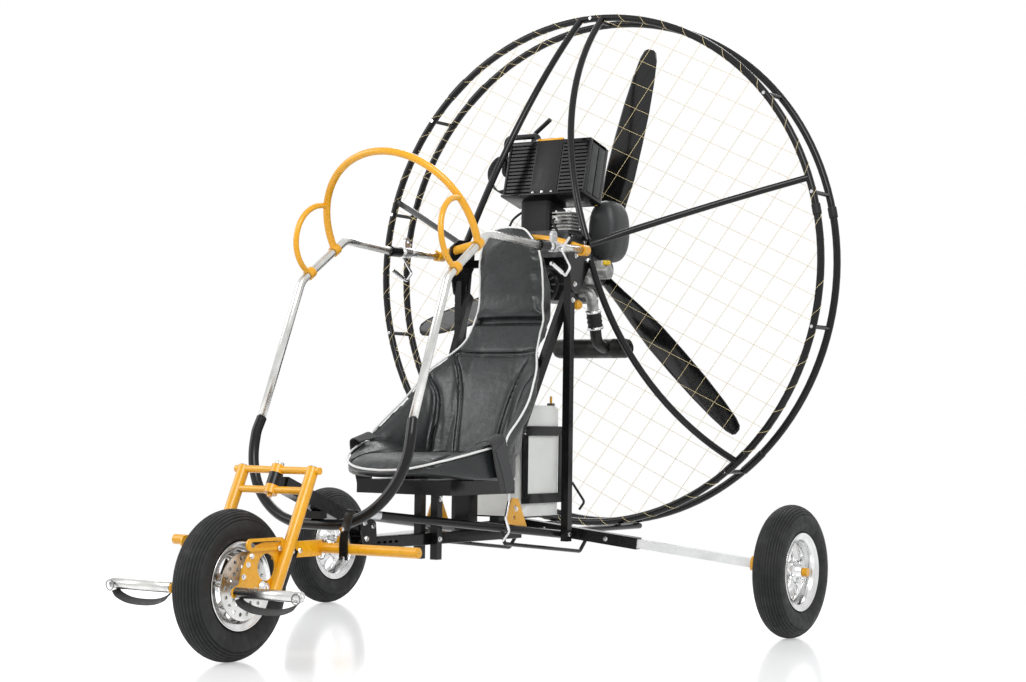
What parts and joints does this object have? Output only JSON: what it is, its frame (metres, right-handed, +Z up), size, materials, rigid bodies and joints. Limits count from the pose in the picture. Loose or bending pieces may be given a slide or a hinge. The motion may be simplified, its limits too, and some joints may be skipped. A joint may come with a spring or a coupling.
{
  "type": "powered-paraglider trike",
  "caption": "Three-wheeled powered-paraglider trike with a bucket seat, a steerable front fork, a foot hoop and a caged propeller behind an upright engine.",
  "frame": {"origin": "On the ground, under the centre of the whole trike", "axes": "+Z is up, the trike drives towards -Y, and +X is its left side"},
  "size_m": [1.882, 2.1285, 2.0204],
  "materials": {
    "tyre": "matte",
    "polished_rim": "polished",
    "orange_coat": "gloss",
    "black_coat": "satin",
    "white_coat": "gloss",
    "stainless": "polished",
    "aluminium": "satin",
    "leather": "satin",
    "tank_plastic": "satin",
    "engine_metal": "matte",
    "prop_carbon": "gloss",
    "black_plastic": "matte",
    "webbing": "matte",
    "chrome": "polished"
  },
  "bodies": {
    "trike_frame": {"airbox": "black_plastic", "arm_collars": "black_coat", "axle_channel": "black_coat", "axle_legs": "white_coat", "back_posts": "black_coat", "back_stays": "black_coat", "cage_front_ring": "black_coat", "cage_rear_ring": "black_coat", "cage_spacers": "black_coat", "cage_struts": "black_coat", "carburettor": "aluminium", "centre_beam": "black_coat", "coolant_hoses": "black_plastic", "cross_tube": "orange_coat", "cylinder_head": "aluminium", "engine_block": "engine_metal", "engine_mount": "black_coat", "exhaust": "engine_metal", "foot_hoop": "black_coat", "front_tubes": "stainless", "fuel_tank": "tank_plastic", "gusset_plates": "orange_coat", "hand_lever": "chrome", "hang_eyes": "aluminium", "hang_levers": "chrome", "hook_rods": "black_coat", "intake_silencer": "black_plastic", "knuckles": "orange_coat", "lap_belts": "webbing", "line_guard": "orange_coat", "nose_beam": "black_coat", "nose_plates": "black_coat", "radiator": "black_coat", "seat_back": "leather", "seat_frame": "black_coat", "seat_pan": "leather", "seat_posts": "black_coat", "shoulder_plates": "black_coat", "side_arms": "stainless", "side_tube_caps": "aluminium", "side_tubes": "black_coat", "skid_rods": "black_coat", "tail_struts": "black_coat", "tank_frames": "black_coat", "tank_tray": "black_coat"},
    "front_wheel": {"front_tyre": "tyre", "front_rim": "polished_rim", "brake_disc": "stainless"},
    "left_wheel": {"left_tyre": "tyre", "left_rim": "polished_rim"},
    "right_wheel": {"right_tyre": "tyre", "right_rim": "polished_rim"},
    "propeller_body": {"propeller": "prop_carbon"},
    "steering_fork": {"fork": "orange_coat", "fork_links": "black_coat", "front_axle": "stainless", "foot_pegs": "stainless", "foot_bar": "orange_coat", "brake_pedal": "black_coat", "peg_straps": "webbing"}
  },
  "joints": [
    {"name": "front_steer", "type": "hinge", "parent": "trike_frame", "child": "steering_fork", "pos_m": [0, -0.68327, 0.498], "axis": [0, 0.4258, 0.9048], "range_deg": [-28, 28]},
    {"name": "front_wheel_spin", "type": "hinge", "parent": "steering_fork", "child": "front_wheel", "pos_m": [0, -0.8645, 0.2], "axis": [1, 0, 0], "continuous": true},
    {"name": "left_wheel_spin", "type": "hinge", "parent": "trike_frame", "child": "left_wheel", "pos_m": [0.885, 0.6585, 0.2], "axis": [1, 0, 0], "continuous": true},
    {"name": "right_wheel_spin", "type": "hinge", "parent": "trike_frame", "child": "right_wheel", "pos_m": [-0.885, 0.6585, 0.2], "axis": [1, 0, 0], "continuous": true},
    {"name": "propeller_spin", "type": "hinge", "parent": "trike_frame", "child": "propeller_body", "pos_m": [0, 0.9835, 1.157], "axis": [0, 1, 0], "continuous": true}
  ]
}
